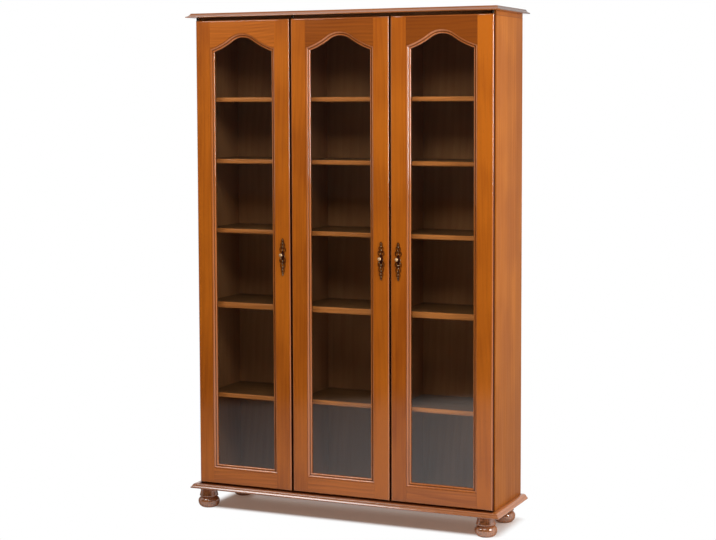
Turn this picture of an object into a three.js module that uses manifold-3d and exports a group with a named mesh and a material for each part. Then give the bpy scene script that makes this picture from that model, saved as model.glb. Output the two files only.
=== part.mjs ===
// Three-door glazed bookcase on four bun feet.
// Millimetres. +X is the viewer's right, the doors face -Y, +Z is up.
// The origin is on the floor, under the middle of the whole piece.
// Heights below are built up from the floor. Depths are measured from the front
// edges of the side panels, and the whole cabinet is then moved to its origin.
import * as THREE from 'three';
import { mergeVertices } from 'three/addons/utils/BufferGeometryUtils.js';
import Module from 'manifold-3d';

// Carcass
const carcassWidth = 1258;
const carcassDepth = 309;
const panelThickness = 18;
const topPanelThickness = 18;
const topPanelSetback = 20;
const backThickness = 4;
const backRebateWidth = 8;
const backRebateDepth = 5;
const friezeHeight = 11;
const friezeGrooveWidth = 1.6;
const friezeGrooveDepth = 1.2;
const seatGap = 0.3;

// Moulded boards above and below the carcass
const corniceThickness = 17;
const baseThickness = 20;
const sideOverhang = 30;
const frontOverhang = 48;
const corniceTopStep = 18;
const corniceNoseHeight = 4;
const baseTopStep = 26;
const baseNoseHeight = 11;
const noseRounding = 3;

// Feet
const footHeight = 86;
const ballRadius = 43.5;
const ballHeight = 46;
const contactRadius = 26;
const collarRadius = 38;
const collarHeight = 13;
const neckRadius = 31;
const frontFootSetback = 23;
const frontLeftFootInset = 17;
const frontRightFootInset = 44;
const backFootInset = 52;
const backFootSetback = 47;

// Shelves, with the clear height below each, counted from the floor of the carcass
const shelfThickness = 18;
const fixedShelfThickness = 24;
const firstClearHeight = 351;
const secondClearHeight = 347;
const thirdClearHeight = 279;
const fourthClearHeight = 261;
const fifthClearHeight = 227;
const topClearHeight = 298;
const shelfSetback = 18;
const shelfEndClearance = 1.5;
const shelfBackClearance = 1;
const shelfArris = 5;
const supportPinRadius = 3;
const supportPinReach = 9;
const supportPinInset = 42;

// Doors
const doorThickness = 19;
const doorStandoff = 3;
const doorGap = 8;
const doorReveal = 3;
const doorBottomClearance = 4;
const doorTopClearance = 12;
const doorArris = 5;
const stileWidth = 63;
const bottomRailWidth = 62;
const cornerDrop = 112;
const archDrawnWidth = 286;
const archRise = 60;
const flankRadius = 295;
const flankReach = 82;

// Sticking moulding round the glass
const mouldingWidth = 16.5;
const quirkDepth = 1.5;
const ovoloWidth = 9;
const ovoloDepth = 4;
const beadDepth = 7.5;
const lipDepth = 10.7;
const rebateWidth = 8;
const glassThickness = 4;
const glassEdgeClearance = 0.7;

// Pivot hinges
const pivotRadius = 3;
const pivotHoleClearance = 0.4;
const pivotEdgeInset = 6;
const pivotFrontInset = 7;
const pivotCollarRadius = 5.5;
const pivotInBoard = 9;
const pivotInDoor = 14;
const pivotEndClearance = 1;

// Door catches
const catchWidth = 46;
const catchDepth = 14;
const catchHeight = 12;
const catchInset = 30;
const catchAirGap = 0.4;

// Handles
const handleHeight = 1040;
const plateHeight = 152;
const plateWidth = 28;
const plateThickness = 2.5;
const knobRise = 9;
const knobReach = 22;
const knobHeadRadius = 7.5;
const knobHeadLength = 9;
const knobStemRadius = 2.8;
const knobRoseRadius = 7;
const knobRoseThickness = 2;

// Curve fineness and the overrun that every cut has past the face it cuts
const footSides = 28;
const knobSides = 20;
const pinSides = 8;
const pivotSides = 16;
const archSteps = 20;
const flankSteps = 10;
const filletSteps = 5;
const arrisSteps = 4;
const cutOverrun = 2;

// Shelves from the floor of the carcass up: the clear height below each, then its thickness.
// The side panels are as tall as the shelf spaces, the shelves and the top panel together.
const shelfRows = [
  [firstClearHeight, shelfThickness],
  [secondClearHeight, fixedShelfThickness],
  [thirdClearHeight, shelfThickness],
  [fourthClearHeight, shelfThickness],
  [fifthClearHeight, shelfThickness],
];
const sideHeight = shelfRows.flat().reduce((sum, height) => sum + height, topClearHeight + topPanelThickness);

// Heights, all from the floor
const baseTop = footHeight + baseThickness;
const corniceBottom = baseTop + sideHeight;
const doorBottom = baseTop + doorBottomClearance;
const doorTop = corniceBottom - doorTopClearance;
const doorHeight = doorTop - doorBottom;

// Places across and into the cabinet
const outerFace = carcassWidth / 2;
const innerFace = outerFace - panelThickness;
const doorWidth = (carcassWidth - 2 * doorReveal - 2 * doorGap) / 3;
const partitionCentre = (doorWidth + doorGap) / 2;
const partitionFaceNear = partitionCentre - panelThickness / 2;
const partitionFaceFar = partitionCentre + panelThickness / 2;
const backFace = carcassDepth - backRebateDepth;
const doorFront = -doorStandoff - doorThickness;
const doorBack = -doorStandoff;
const knobFront = doorFront - plateThickness - knobReach - 2 * seatGap;
const frontReach = Math.max(frontOverhang, -knobFront);
const depthCentre = (carcassDepth - frontReach) / 2;

// Arch of the top rail: a crown arc that runs into a wide hollow flank arc on each side.
// Each flank arc ends at the stile. Its centre stands outside the opening, above the corner.
// The arch is drawn for one width of opening, and its arcs grow or shrink with the opening.
const openingShare = (doorWidth - 2 * stileWidth) / archDrawnWidth;
const archHeight = archRise * openingShare;
const flankArcRadius = flankRadius * openingShare;
const flankCentreReach = flankReach * openingShare;
const flankSpan = doorWidth / 2 - stileWidth + flankCentreReach;
const flankLift = Math.sqrt(flankArcRadius ** 2 - flankCentreReach ** 2);
const archFall = archHeight + flankArcRadius - flankLift;
const crownAndFlank = (flankSpan ** 2 + archFall ** 2) / (2 * archFall);
const crownRadius = crownAndFlank - flankArcRadius;
const crownAngle = Math.asin(flankSpan / crownAndFlank);

const finish = (color, roughness, metalness) =>
  new THREE.MeshStandardMaterial({ color, roughness, metalness });
const doorWood = finish(0xa65f26, 0.38, 0);
const carcassWood = finish(0xb4713c, 0.42, 0);
const mouldedWood = finish(0x8a5433, 0.36, 0);
const shelfWood = finish(0x8f552b, 0.45, 0);
const backWood = finish(0x2c1a10, 0.6, 0);
const footWood = finish(0x9c6443, 0.3, 0);
const bronze = finish(0x5d4324, 0.42, 0.9);
const steel = finish(0xb9b5ab, 0.3, 1);
const catchPlastic = finish(0x4a3524, 0.5, 0);
const clearGlass = new THREE.MeshStandardMaterial({
  color: 0xdfe6e2, roughness: 0.03, metalness: 0, transparent: true, opacity: 0.25,
});

const wasm = await Module();
wasm.setup();

// A closed geometry as a solid that can be joined and cut.
function solidOf(geometry) {
  const bare = geometry.clone();
  bare.deleteAttribute('normal');
  bare.deleteAttribute('uv');
  const merged = mergeVertices(bare);
  return new wasm.Manifold(new wasm.Mesh({
    numProp: 3,
    vertProperties: new Float32Array(merged.attributes.position.array),
    triVerts: new Uint32Array(merged.index.array),
  }));
}

function geometryOf(solid) {
  const result = solid.getMesh();
  const geometry = new THREE.BufferGeometry();
  geometry.setAttribute('position', new THREE.BufferAttribute(result.vertProperties, 3));
  geometry.setIndex(new THREE.BufferAttribute(result.triVerts, 1));
  return geometry;
}

// A skin over rings of equal length, stacked in the direction their outlines face.
function skinOver(rings, capOutline) {
  const count = rings[0].length;
  const positions = rings.flat().flatMap((p) => [p.x, p.y, p.z]);
  const faces = [];
  for (let level = 0; level + 1 < rings.length; level += 1) {
    for (let i = 0; i < count; i += 1) {
      const next = (i + 1) % count;
      const low = level * count;
      const high = low + count;
      faces.push(low + i, low + next, high + next, low + i, high + next, high + i);
    }
  }
  const lastRing = (rings.length - 1) * count;
  for (const [a, b, c] of THREE.ShapeUtils.triangulateShape(capOutline, [])) {
    faces.push(c, b, a, lastRing + a, lastRing + b, lastRing + c);
  }
  const geometry = new THREE.BufferGeometry();
  geometry.setAttribute('position', new THREE.Float32BufferAttribute(positions, 3));
  geometry.setIndex(faces);
  return geometry;
}

function prism(points, length) {
  return new THREE.ExtrudeGeometry(new THREE.Shape(points), { depth: length, bevelEnabled: false });
}

const axisX = new THREE.Vector3(1, 0, 0);
const axisY = new THREE.Vector3(0, 1, 0);
const axisZ = new THREE.Vector3(0, 0, 1);

// A (depth, height) section run from x = 0 to the right.
function prismAlongX(points, length) {
  return prism(points, length).applyMatrix4(new THREE.Matrix4().makeBasis(axisY, axisZ, axisX));
}

// An (x, height) outline run from y = front to the back.
function prismAlongY(points, front, length) {
  const turn = new THREE.Matrix4().makeBasis(axisX, axisZ, axisY.clone().negate());
  return prism(points, length).applyMatrix4(turn).translate(0, front + length, 0);
}

function cylinderAlongZ(radius, low, high, sides) {
  const geometry = new THREE.CylinderGeometry(radius, radius, high - low, sides);
  return geometry.rotateX(Math.PI / 2).translate(0, 0, (low + high) / 2);
}

function point(x, y) {
  return new THREE.Vector2(x, y);
}

// Points of an arc, both ends included.
function arc(centre, radius, fromAngle, toAngle, steps) {
  return Array.from({ length: steps + 1 }, (unused, i) => {
    const angle = fromAngle + ((toAngle - fromAngle) * i) / steps;
    return point(centre.x + radius * Math.cos(angle), centre.y + radius * Math.sin(angle));
  });
}

const cabinet = new THREE.Group();
cabinet.position.y = -depthCentre;

function add(name, geometry, material, x = 0, y = 0, z = 0) {
  const mesh = new THREE.Mesh(geometry, material);
  mesh.name = name;
  mesh.position.set(x, y, z);
  cabinet.add(mesh);
}

function addBlock(name, material, xRange, yRange, zRange) {
  const [width, depth, height] = [xRange, yRange, zRange].map(([low, high]) => high - low);
  const [x, y, z] = [xRange, yRange, zRange].map(([low, high]) => (low + high) / 2);
  add(name, new THREE.BoxGeometry(width, depth, height), material, x, y, z);
}

const doors = [
  { name: 'left_door', left: -outerFace + doorReveal, hingeOnLeft: true },
  { name: 'middle_door', left: -doorWidth / 2, hingeOnLeft: true },
  { name: 'right_door', left: outerFace - doorReveal - doorWidth, hingeOnLeft: false },
].map((door) => {
  const inset = door.hingeOnLeft ? pivotEdgeInset : doorWidth - pivotEdgeInset;
  return { ...door, pivotX: door.left + inset, pivotY: doorFront + pivotFrontInset };
});

const bays = [
  { name: 'left', low: -innerFace, high: -partitionFaceFar },
  { name: 'middle', low: -partitionFaceNear, high: partitionFaceNear },
  { name: 'right', low: partitionFaceFar, high: innerFace },
];

// Shelf levels from the floor of the carcass up. The fixed one ties the sides together.
const shelfLevels = [];
{
  let height = baseTop;
  let looseCount = 0;
  for (const [clearHeight, thickness] of shelfRows) {
    const low = height + clearHeight;
    const fixed = thickness === fixedShelfThickness;
    if (!fixed) looseCount += 1;
    shelfLevels.push({ low, thickness, fixed, name: fixed ? 'fixed_shelf' : `shelf_${looseCount}` });
    height = low + thickness;
  }
}

// Moulded boards. Each layer is a rectangle that stands out from the carcass by its reach.
function mouldedBoard(layers, thickness) {
  const outlineAt = (reach) => {
    const side = outerFace + reach;
    const front = -(frontOverhang - sideOverhang + reach);
    return [point(-side, front), point(side, front), point(side, carcassDepth), point(-side, carcassDepth)];
  };
  const rings = layers.map(([reach, heightShare]) =>
    outlineAt(reach).map((p) => new THREE.Vector3(p.x, p.y, heightShare * thickness)));
  return skinOver(rings, outlineAt(layers[0][0]));
}

function quarter(steps) {
  return Array.from({ length: steps + 1 }, (unused, i) => (Math.PI / 2) * (i / steps));
}

// Cornice: a rounded nose at the lower edge, then a hollow that sweeps back to the top.
function corniceLayers() {
  const nose = corniceNoseHeight;
  const hollowRun = corniceTopStep - noseRounding / 2;
  const hollowRise = corniceThickness - nose;
  const layers = quarter(arrisSteps).map((a) => [
    sideOverhang - noseRounding * (1 - Math.sin(a)) / 2,
    (nose / 2) * (1 - Math.cos(a)),
  ]);
  layers.push(...quarter(arrisSteps).slice(1).map((a) => [
    sideOverhang - (noseRounding / 2) * (1 - Math.cos(a)),
    nose / 2 + (nose / 2) * Math.sin(a),
  ]));
  layers.push(...quarter(filletSteps).slice(1).map((a) => [
    sideOverhang - noseRounding / 2 - hollowRun * Math.sin(a),
    nose + hollowRise * (1 - Math.cos(a)),
  ]));
  return layers.map(([reach, height]) => [reach, height / corniceThickness]);
}

// Base: a full round nose at the lower edge, a small quirk, then a quarter round to the top.
function baseLayers() {
  const nose = baseNoseHeight;
  const quirk = noseRounding / 2;
  const roundRun = baseTopStep - nose / 2 - quirk;
  const roundRise = baseThickness - nose;
  const noseCentre = sideOverhang - nose / 2;
  const layers = [-1, -2 / 3, -1 / 3, 0, 1 / 3, 2 / 3, 1].map((turnShare) => {
    const angle = turnShare * (Math.PI / 2);
    return [noseCentre + (nose / 2) * Math.cos(angle), nose / 2 + (nose / 2) * Math.sin(angle)];
  });
  const roundStart = noseCentre - quirk;
  layers.push(...quarter(filletSteps).map((a) => [
    roundStart - roundRun * (1 - Math.cos(a)),
    nose + roundRise * Math.sin(a),
  ]));
  return layers.map(([reach, height]) => [reach, height / baseThickness]);
}

// Every door turns on a pin let into the board above it and one let into the board below.
function pivotSockets(low, high) {
  return doors.map(({ pivotX, pivotY }) =>
    solidOf(cylinderAlongZ(pivotRadius + pivotHoleClearance, low, high, pivotSides)
      .translate(pivotX, pivotY, 0)));
}

function buildMouldedBoards() {
  const socket = pivotInBoard + pivotEndClearance;
  let cornice = solidOf(mouldedBoard(corniceLayers(), corniceThickness));
  for (const hole of pivotSockets(-cutOverrun, socket)) cornice = cornice.subtract(hole);
  add('cornice_board', geometryOf(cornice), mouldedWood, 0, 0, corniceBottom);
  let base = solidOf(mouldedBoard(baseLayers(), baseThickness));
  for (const hole of pivotSockets(baseThickness - socket, baseThickness + cutOverrun)) {
    base = base.subtract(hole);
  }
  add('base_board', geometryOf(base), mouldedWood, 0, 0, footHeight);
}

// Pins that the loose shelves rest on, standing out of one face of an upright.
function supportPins(faceX, direction) {
  const rows = shelfLevels.filter(({ fixed }) => !fixed);
  const depths = [shelfSetback + supportPinInset, backFace - supportPinInset];
  const length = supportPinReach + cutOverrun;
  const flatRadius = supportPinRadius / Math.cos(Math.PI / pinSides);
  return rows.flatMap(({ low }) => depths.map((depth) => {
    const pin = new THREE.CylinderGeometry(flatRadius, flatRadius, length, pinSides);
    pin.rotateY(Math.PI / pinSides).rotateZ(Math.PI / 2);
    const middle = faceX + direction * (supportPinReach - length / 2);
    return solidOf(pin.translate(middle, depth, low - seatGap - supportPinRadius));
  }));
}

function buildSides() {
  const top = corniceBottom - seatGap;
  const bottom = baseTop + seatGap;
  for (const [name, sign] of [['left_side_panel', -1], ['right_side_panel', 1]]) {
    const section = [
      point(sign * outerFace, 0),
      point(sign * innerFace, 0),
      point(sign * innerFace, backFace),
      point(sign * (innerFace + backRebateWidth), backFace),
      point(sign * (innerFace + backRebateWidth), carcassDepth),
      point(sign * outerFace, carcassDepth),
    ];
    let panel = solidOf(prism(section, top - bottom).translate(0, 0, bottom));
    for (const pin of supportPins(sign * innerFace, -sign)) panel = panel.add(pin);
    const grooveLength = carcassDepth + 2 * cutOverrun;
    const groove = new THREE.BoxGeometry(2 * friezeGrooveDepth, grooveLength, friezeGrooveWidth);
    groove.translate(sign * outerFace, carcassDepth / 2, corniceBottom - friezeHeight);
    add(name, geometryOf(panel.subtract(solidOf(groove))), carcassWood);
  }
}

function buildPartitions() {
  const top = corniceBottom - topPanelThickness - 2 * seatGap;
  const bottom = baseTop + seatGap;
  const depth = backFace - seatGap;
  for (const [name, sign] of [['left_partition', -1], ['right_partition', 1]]) {
    const block = new THREE.BoxGeometry(panelThickness, depth, top - bottom);
    block.translate(sign * partitionCentre, depth / 2, (top + bottom) / 2);
    let panel = solidOf(block);
    const faces = [
      ...supportPins(sign * partitionFaceNear, -sign),
      ...supportPins(sign * partitionFaceFar, sign),
    ];
    for (const pin of faces) panel = panel.add(pin);
    add(name, geometryOf(panel), carcassWood);
  }
}

function buildTopAndBack() {
  const half = innerFace - seatGap;
  const panelTop = corniceBottom - seatGap;
  addBlock('top_panel', carcassWood, [-half, half], [topPanelSetback, backFace - seatGap],
    [corniceBottom - topPanelThickness, panelTop]);
  const backHalf = innerFace + backRebateWidth - seatGap;
  addBlock('back_panel', backWood, [-backHalf, backHalf],
    [backFace + seatGap, backFace + seatGap + backThickness], [baseTop + seatGap, panelTop]);
}

// Bun foot: a squashed ball, a groove, a collar and a plain neck.
function footProfile() {
  const outline = [point(0, 0), point(contactRadius, 0)];
  const ballShares = [[0.55, 0.07], [0.84, 0.2], [0.97, 0.34], [1, 0.48], [0.97, 0.64], [0.88, 0.8], [0.78, 0.93]];
  const bulge = ballRadius - contactRadius;
  for (const [reachShare, heightShare] of ballShares) {
    const reach = heightShare < 0.48 ? contactRadius + bulge * reachShare : ballRadius * reachShare;
    outline.push(point(reach, ballHeight * heightShare));
  }
  const grooveRadius = (neckRadius + collarRadius) / 2;
  outline.push(point(grooveRadius, ballHeight));
  const collarShares = [[0.75, 0.18], [1, 0.45], [0.9, 0.75], [0.5, 1]];
  for (const [reachShare, heightShare] of collarShares) {
    const reach = neckRadius + (collarRadius - neckRadius) * reachShare;
    outline.push(point(reach, ballHeight + collarHeight * heightShare));
  }
  const neckLow = ballHeight + collarHeight + (collarRadius - neckRadius) / 2;
  outline.push(point(neckRadius, neckLow), point(neckRadius, footHeight - seatGap));
  outline.push(point(0, footHeight - seatGap));
  return outline;
}

function buildFeet() {
  const backRow = carcassDepth - backFootSetback;
  const places = [
    ['front_left_foot', frontLeftFootInset - outerFace, frontFootSetback],
    ['front_right_foot', outerFace - frontRightFootInset, frontFootSetback],
    ['back_left_foot', backFootInset - outerFace, backRow],
    ['back_right_foot', outerFace - backFootInset, backRow],
  ];
  for (const [name, x, y] of places) {
    const foot = new THREE.LatheGeometry(footProfile(), footSides).rotateX(Math.PI / 2);
    add(name, foot, footWood, x, y, 0);
  }
}

// A board section with rounded front corners, from its front edge at depth zero.
function shelfSection(depth, thickness) {
  const r = Math.min(shelfArris, thickness / 2 - seatGap);
  return [
    ...arc(point(r, thickness - r), r, Math.PI, Math.PI / 2, arrisSteps),
    point(depth, thickness),
    point(depth, 0),
    ...arc(point(r, r), r, -Math.PI / 2, -Math.PI, arrisSteps),
  ];
}

function buildShelves() {
  const depth = backFace - shelfSetback - shelfBackClearance;
  for (const { low, thickness, fixed, name } of shelfLevels) {
    const endGap = fixed ? seatGap : shelfEndClearance;
    for (const bay of bays) {
      const board = prismAlongX(shelfSection(depth, thickness), bay.high - bay.low - 2 * endGap);
      add(`${bay.name}_bay_${name}`, board, shelfWood, bay.low + endGap, shelfSetback, low);
    }
  }
}

// Outline of the glazed opening, drawn in by an inset from the outer edge of its moulding.
// It runs anticlockwise as seen from in front, from the lower left corner of the door.
function openingOutline(inset) {
  const left = stileWidth + inset;
  const right = doorWidth - left;
  const low = bottomRailWidth + inset;
  const corner = doorHeight - cornerDrop;
  const crownCentre = point(doorWidth / 2, corner + archHeight - crownRadius);
  const leftFlank = point(doorWidth / 2 - flankSpan, corner + flankLift);
  const rightFlank = point(doorWidth / 2 + flankSpan, corner + flankLift);
  const radius = flankArcRadius + inset;
  const cornerAngle = Math.asin((flankCentreReach + inset) / radius);
  const down = -Math.PI / 2;
  return [
    point(left, low),
    point(right, low),
    ...arc(rightFlank, radius, down - cornerAngle, down - crownAngle, flankSteps),
    ...arc(crownCentre, crownRadius - inset, -down - crownAngle, -down + crownAngle, archSteps).slice(1, -1),
    ...arc(leftFlank, radius, down + crownAngle, down + cornerAngle, flankSteps),
  ];
}

// Steps of the opening from back to front, each an inset and a depth behind the front face.
// The rebate for the glass comes first, then the lip, the small bead, the ovolo and the quirk.
function openingSteps() {
  const ovoloStart = mouldingWidth - ovoloWidth;
  const ovolo = quarter(arrisSteps).map((a) => [
    ovoloStart / 2 + ovoloWidth * Math.sin(a),
    quirkDepth + ovoloDepth * (1 - Math.cos(a)),
  ]).reverse();
  return [
    [rebateWidth, doorThickness + cutOverrun],
    [rebateWidth, lipDepth],
    [mouldingWidth, lipDepth],
    [mouldingWidth, beadDepth],
    ...ovolo,
    [ovoloStart / 2, quirkDepth],
    [0, quirkDepth],
    [0, -cutOverrun],
  ];
}

function openingCutter() {
  const rings = openingSteps().map(([inset, depth]) =>
    openingOutline(inset).map((p) => new THREE.Vector3(p.x, doorFront + depth, p.y)));
  return solidOf(skinOver(rings, openingOutline(0)));
}

// A door blank with a rounded arris round its front face.
function doorBlank() {
  const section = (length) => [
    ...arc(point(doorArris, doorFront + doorArris), doorArris, Math.PI, 1.5 * Math.PI, arrisSteps),
    ...arc(point(length - doorArris, doorFront + doorArris), doorArris, -Math.PI / 2, 0, arrisSteps),
    point(length, doorBack),
    point(0, doorBack),
  ];
  const upright = solidOf(prism(section(doorWidth), doorHeight));
  const lyingSection = section(doorHeight).map((p) => point(p.y, p.x)).reverse();
  const lying = solidOf(prismAlongX(lyingSection, doorWidth));
  return upright.intersect(lying);
}

// The two stiles run the full height. The rails fit between them, mitred at the moulding.
function memberRegions() {
  const half = seatGap / 2;
  const low = -cutOverrun;
  const high = doorHeight + cutOverrun;
  const inner = stileWidth - half;
  const clear = stileWidth + half;
  const mitre = mouldingWidth + cutOverrun;
  const corner = doorHeight - cornerDrop;
  const mitreEnd = corner + flankLift - Math.sqrt((flankArcRadius + mitre) ** 2 - (flankCentreReach + mitre) ** 2);
  const mirror = (points) => points.map((p) => point(doorWidth - p.x, p.y)).reverse();
  const leftStile = [
    point(low, low),
    point(inner, low),
    point(inner, bottomRailWidth),
    point(inner + mitre, bottomRailWidth + mitre),
    point(inner + mitre, mitreEnd),
    point(inner, corner),
    point(inner, high),
    point(low, high),
  ];
  const bottomHalf = [
    point(clear, low),
    point(clear, bottomRailWidth),
    point(clear + mitre, bottomRailWidth + mitre),
  ];
  const topHalf = [
    point(clear, high),
    point(clear, corner),
    point(clear + mitre, mitreEnd),
  ];
  return {
    leftStile,
    rightStile: mirror(leftStile),
    bottomRail: [...bottomHalf, ...mirror(bottomHalf)],
    topRail: [...topHalf, ...mirror(topHalf)],
  };
}

function buildDoor({ name, left, hingeOnLeft, pivotX }) {
  const blank = doorBlank().subtract(openingCutter());
  const regions = memberRegions();
  const member = (outline) =>
    blank.intersect(solidOf(prismAlongY(outline, doorFront - cutOverrun, doorThickness + 2 * cutOverrun)));
  const put = (part, geometry, material) =>
    add(`${name}_${part}`, geometry, material, left, 0, doorBottom);
  const socket = pivotInDoor + pivotEndClearance;
  const pivotHole = (low, high) =>
    solidOf(cylinderAlongZ(pivotRadius + pivotHoleClearance, low, high, pivotSides)
      .translate(pivotX - left, doorFront + pivotFrontInset, 0));
  const hingeStile = member(hingeOnLeft ? regions.leftStile : regions.rightStile)
    .subtract(pivotHole(-cutOverrun, socket))
    .subtract(pivotHole(doorHeight - socket, doorHeight + cutOverrun));
  put('hinge_stile', geometryOf(hingeStile), doorWood);
  put('lock_stile', geometryOf(member(hingeOnLeft ? regions.rightStile : regions.leftStile)), doorWood);
  put('top_rail', geometryOf(member(regions.topRail)), doorWood);
  put('bottom_rail', geometryOf(member(regions.bottomRail)), doorWood);

  const glassFront = doorFront + lipDepth + seatGap;
  const pane = openingOutline(rebateWidth + glassEdgeClearance);
  put('glass', prismAlongY(pane, glassFront, glassThickness), clearGlass);

  const beadFront = glassFront + glassThickness + seatGap;
  const beadLength = doorBack - beadFront;
  const ring = solidOf(prismAlongY(openingOutline(rebateWidth + seatGap), beadFront, beadLength));
  const sight = solidOf(prismAlongY(openingOutline(mouldingWidth), beadFront - cutOverrun,
    beadLength + 2 * cutOverrun));
  put('glazing_bead', geometryOf(ring.subtract(sight)), doorWood);
}

// A pivot pin with a collar that fills the space between the door and its board.
function pivotPin(clearance) {
  const low = seatGap;
  const high = clearance - seatGap;
  const profile = [
    point(0, -pivotInDoor),
    point(pivotRadius, -pivotInDoor),
    point(pivotRadius, low),
    point(pivotCollarRadius, low),
    point(pivotCollarRadius, high),
    point(pivotRadius, high),
    point(pivotRadius, clearance + pivotInBoard),
    point(0, clearance + pivotInBoard),
  ];
  return new THREE.LatheGeometry(profile, pivotSides).rotateX(Math.PI / 2);
}

function buildPivotPins() {
  for (const { name, pivotX, pivotY } of doors) {
    add(`${name}_top_pivot`, pivotPin(doorTopClearance), steel, pivotX, pivotY, doorTop);
    const bottomPin = pivotPin(doorBottomClearance).rotateX(Math.PI);
    add(`${name}_bottom_pivot`, bottomPin, steel, pivotX, pivotY, doorBottom);
  }
}

function buildCatches() {
  const top = corniceBottom - topPanelThickness - seatGap;
  const places = [
    ['left_door_catch', -partitionFaceFar - catchInset],
    ['middle_door_catch', partitionFaceNear - catchInset],
    ['right_door_catch', partitionFaceFar + catchInset],
  ];
  const front = doorBack + catchAirGap;
  const back = topPanelSetback + catchDepth;
  for (const [name, x] of places) {
    addBlock(name, catchPlastic, [x - catchWidth / 2, x + catchWidth / 2], [front, back],
      [top - catchHeight, top]);
  }
}

// Outline of the handle plate: leafy lobes above and below a round seat for the knob.
const plateHalfShares = [
  [-1, 0.1], [-0.93, 0.34], [-0.84, 0.46], [-0.77, 0.24], [-0.66, 0.5], [-0.54, 0.82], [-0.44, 0.6],
  [-0.33, 0.44], [-0.22, 0.72], [-0.1, 0.9], [0.02, 0.72], [0.12, 0.86], [0.24, 0.74], [0.33, 0.46],
  [0.46, 0.66], [0.58, 0.94], [0.68, 0.62], [0.78, 0.26], [0.86, 0.44], [0.94, 0.3], [1, 0.1],
];
const piercingShares = [[-0.5, 0.22, 0.1], [0.53, 0.26, 0.11]];
const plateCurveSteps = 60;

function handlePlate() {
  const half = plateWidth / 2;
  const rise = plateHeight / 2;
  const rightEdge = new THREE.SplineCurve(
    plateHalfShares.map(([along, across]) => point(across * half, along * rise)),
  ).getPoints(plateCurveSteps);
  const leftEdge = rightEdge.map((p) => point(-p.x, p.y)).reverse();
  const shape = new THREE.Shape([...rightEdge, ...leftEdge]);
  for (const [along, acrossShare, alongShare] of piercingShares) {
    const hole = new THREE.Path();
    hole.absellipse(0, along * rise, acrossShare * half, alongShare * rise, 0, 2 * Math.PI, true);
    shape.holes.push(hole);
  }
  const plate = new THREE.ExtrudeGeometry(shape, {
    depth: plateThickness, bevelEnabled: false, curveSegments: knobSides / 4,
  });
  return plate.rotateX(Math.PI / 2);
}

function knobProfile() {
  const headStart = knobReach - knobHeadLength;
  const headShares = [[0.45, 0.02], [0.86, 0.2], [1, 0.45], [0.94, 0.68], [0.72, 0.88], [0.38, 0.98]];
  return [
    point(0, 0),
    point(knobRoseRadius, 0),
    point(knobRoseRadius, knobRoseThickness / 2),
    point(knobStemRadius, knobRoseThickness),
    point(knobStemRadius, headStart),
    ...headShares.map(([reach, along]) =>
      point(knobHeadRadius * reach, headStart + knobHeadLength * along)),
    point(0, knobReach),
  ];
}

function buildHandles() {
  for (const { name, left, hingeOnLeft } of doors) {
    const x = left + (hingeOnLeft ? doorWidth - stileWidth / 2 : stileWidth / 2);
    const plateBack = doorFront - seatGap;
    add(`${name}_handle_plate`, handlePlate(), bronze, x, plateBack, handleHeight);
    const knob = new THREE.LatheGeometry(knobProfile(), knobSides).rotateX(Math.PI);
    const knobBack = plateBack - plateThickness - seatGap;
    add(`${name}_knob`, knob, bronze, x, knobBack, handleHeight + knobRise);
  }
}

buildMouldedBoards();
buildSides();
buildPartitions();
buildTopAndBack();
buildFeet();
buildShelves();
doors.forEach(buildDoor);
buildPivotPins();
buildCatches();
buildHandles();

export default cabinet;
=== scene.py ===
import math

import bmesh
import bpy
from mathutils import Matrix, Vector


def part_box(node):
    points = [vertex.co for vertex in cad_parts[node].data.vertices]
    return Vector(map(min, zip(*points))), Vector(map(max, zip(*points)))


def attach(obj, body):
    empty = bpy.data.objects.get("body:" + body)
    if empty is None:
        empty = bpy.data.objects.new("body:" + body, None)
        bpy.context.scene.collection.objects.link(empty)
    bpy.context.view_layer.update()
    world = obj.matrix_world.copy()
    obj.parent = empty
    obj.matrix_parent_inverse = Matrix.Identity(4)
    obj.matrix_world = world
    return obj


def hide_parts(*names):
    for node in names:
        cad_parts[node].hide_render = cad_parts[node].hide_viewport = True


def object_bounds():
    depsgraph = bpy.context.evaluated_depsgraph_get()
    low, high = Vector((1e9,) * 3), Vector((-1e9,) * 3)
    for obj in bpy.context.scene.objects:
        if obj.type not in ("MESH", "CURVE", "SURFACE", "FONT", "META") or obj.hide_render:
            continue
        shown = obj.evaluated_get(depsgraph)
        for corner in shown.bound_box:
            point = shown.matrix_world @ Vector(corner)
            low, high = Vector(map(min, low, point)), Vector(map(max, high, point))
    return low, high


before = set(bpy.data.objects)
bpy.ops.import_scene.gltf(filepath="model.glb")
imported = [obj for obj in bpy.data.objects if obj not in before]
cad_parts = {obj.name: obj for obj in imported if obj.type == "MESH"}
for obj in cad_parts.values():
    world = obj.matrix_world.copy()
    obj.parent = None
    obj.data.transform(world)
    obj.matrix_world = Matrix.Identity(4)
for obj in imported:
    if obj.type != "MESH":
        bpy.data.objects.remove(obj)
cadLow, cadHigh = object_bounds()


# Small helpers

whiteLight = (1, 1, 1, 1)
# Corners closer than this are one corner.
weldDistance = 0.000004
# Edges between faces that turn by more than this stay sharp, in degrees.
joinerySharpAngle = 32
# Millimetres in a metre
perMetre = 1000


def stained(red, green, blue):
    # A colour as it looks on screen, from 0 to 255, turned into linear light by the usual screen curve.
    def toLinear(value):
        value = value / 255
        return value / 12.92 if value <= 0.04045 else ((value + 0.055) / 1.055) ** 2.4
    return (toLinear(red), toLinear(green), toLinear(blue), 1.0)


def fillInputs(tree, node, inputs):
    # A socket is linked, and any other value is set.
    for key, value in inputs.items():
        if isinstance(value, bpy.types.NodeSocket):
            tree.links.new(value, node.inputs[key])
        else:
            node.inputs[key].default_value = value


def addNode(tree, kind, inputs=None, **settings):
    # The settings are the node's own properties.
    made = tree.nodes.new("ShaderNode" + kind)
    for key, value in settings.items():
        setattr(made, key, value)
    fillInputs(tree, made, inputs or {})
    return made


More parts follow.
